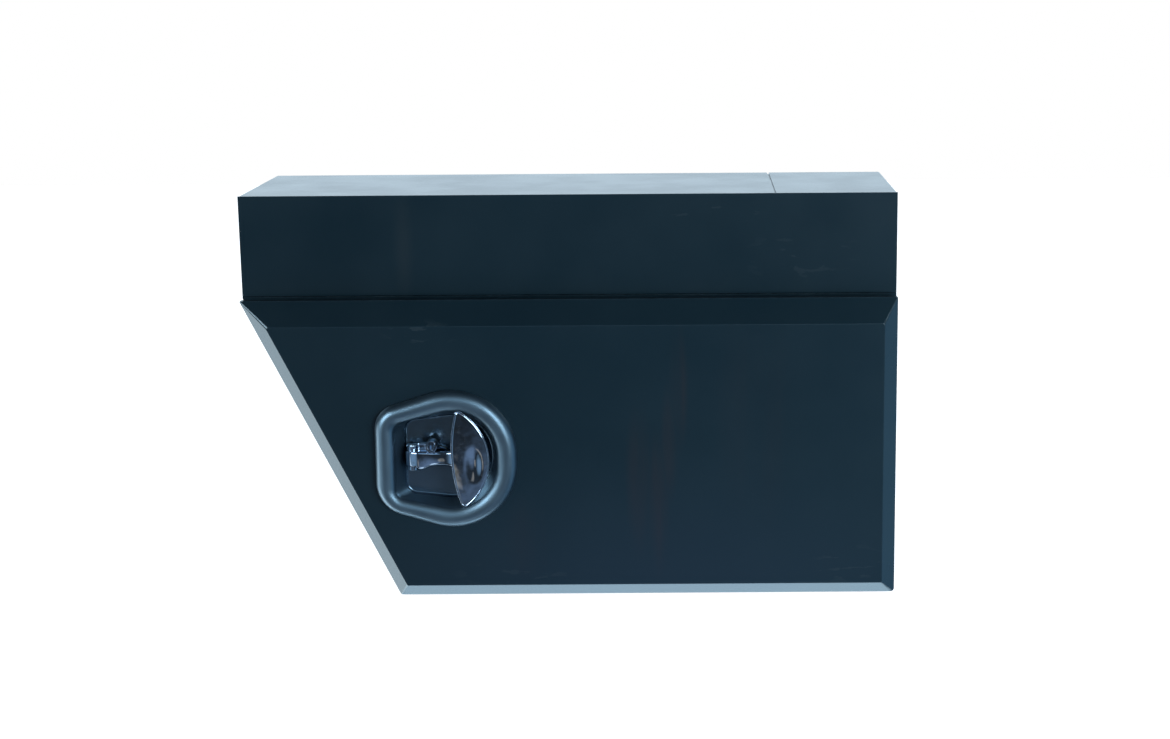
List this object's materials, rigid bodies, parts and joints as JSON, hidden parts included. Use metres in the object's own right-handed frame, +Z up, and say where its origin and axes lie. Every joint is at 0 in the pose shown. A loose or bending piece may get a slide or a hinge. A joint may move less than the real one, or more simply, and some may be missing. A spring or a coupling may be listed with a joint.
{
  "type": "truck tool box",
  "caption": "Tapered under-tray steel tool box with one slanted end, a bevelled side-hinged door and a recessed folding handle lock.",
  "frame": {"origin": "under the middle of the whole box, on the plane that its floor stands on", "axes": "+X to the right of someone facing the door, +Y from the door into the box, +Z up"},
  "size_m": [0.7, 0.25, 0.44],
  "materials": {
    "body_paint": "satin-gloss dark blue-black powder coat",
    "lock_black": "satin black",
    "handle_chrome": "polished chrome plate",
    "zinc_steel": "zinc plated",
    "bush_brass": "turned",
    "seal_rubber": "matt black"
  },
  "bodies": {
    "root": {"body_wrap_main": "body_paint", "body_wrap_end": "body_paint", "roof_joint_strip": "body_paint", "back_panel": "body_paint", "backing_plate_left": "zinc_steel", "backing_plate_right": "zinc_steel", "front_fascia": "body_paint", "header_channel": "body_paint", "frame_strip_left": "body_paint", "frame_strip_bottom": "body_paint", "frame_strip_right": "body_paint", "roof_brace": "body_paint", "door_seal": "seal_rubber", "lock_keeper": "zinc_steel", "hinge_leaf_body": "body_paint", "hinge_pin": "zinc_steel", "hinge_rivets_body": "zinc_steel"},
    "door": {"door_pan": "body_paint", "door_stiffener": "body_paint", "hinge_leaf_door": "body_paint", "hinge_rivets_door": "zinc_steel", "lock_tray": "lock_black", "lock_gasket": "seal_rubber", "lock_clamp_frame": "zinc_steel", "lock_studs": "zinc_steel", "lock_nuts": "zinc_steel", "spindle_bush": "bush_brass"},
    "spindle": {"handle_yoke": "handle_chrome", "yoke_pin": "zinc_steel", "spindle_shaft": "zinc_steel", "spindle_spring_washer": "zinc_steel", "lock_cam": "zinc_steel", "cam_washer": "zinc_steel", "cam_nut": "zinc_steel"},
    "handle": {"folding_handle": "handle_chrome", "key_barrel": "handle_chrome"},
    "key": {"key_plug": "handle_chrome"}
  },
  "joints": [
    {"name": "door_swing", "type": "hinge", "parent": "root", "child": "door", "pos_m": [0.3455, -0.0852, 0.166], "axis": [0, 0, 1], "range_deg": [0, 92]},
    {"name": "handle_turn", "type": "hinge", "parent": "door", "child": "spindle", "pos_m": [-0.1416, -0.09, 0.161], "axis": [0, 1, 0], "range_deg": [0, 90]},
    {"name": "handle_lift", "type": "hinge", "parent": "spindle", "child": "handle", "pos_m": [-0.17, -0.107, 0.161], "axis": [0, 0, -1], "range_deg": [0, 85]},
    {"name": "key_turn", "type": "hinge", "parent": "handle", "child": "key", "pos_m": [-0.1485, -0.115, 0.1755], "axis": [0, 1, 0], "range_deg": [0, 90]}
  ],
  "couplings": [
    {"joint": "handle_lift", "follows": "handle_turn", "ratio": 0.94444}
  ]
}
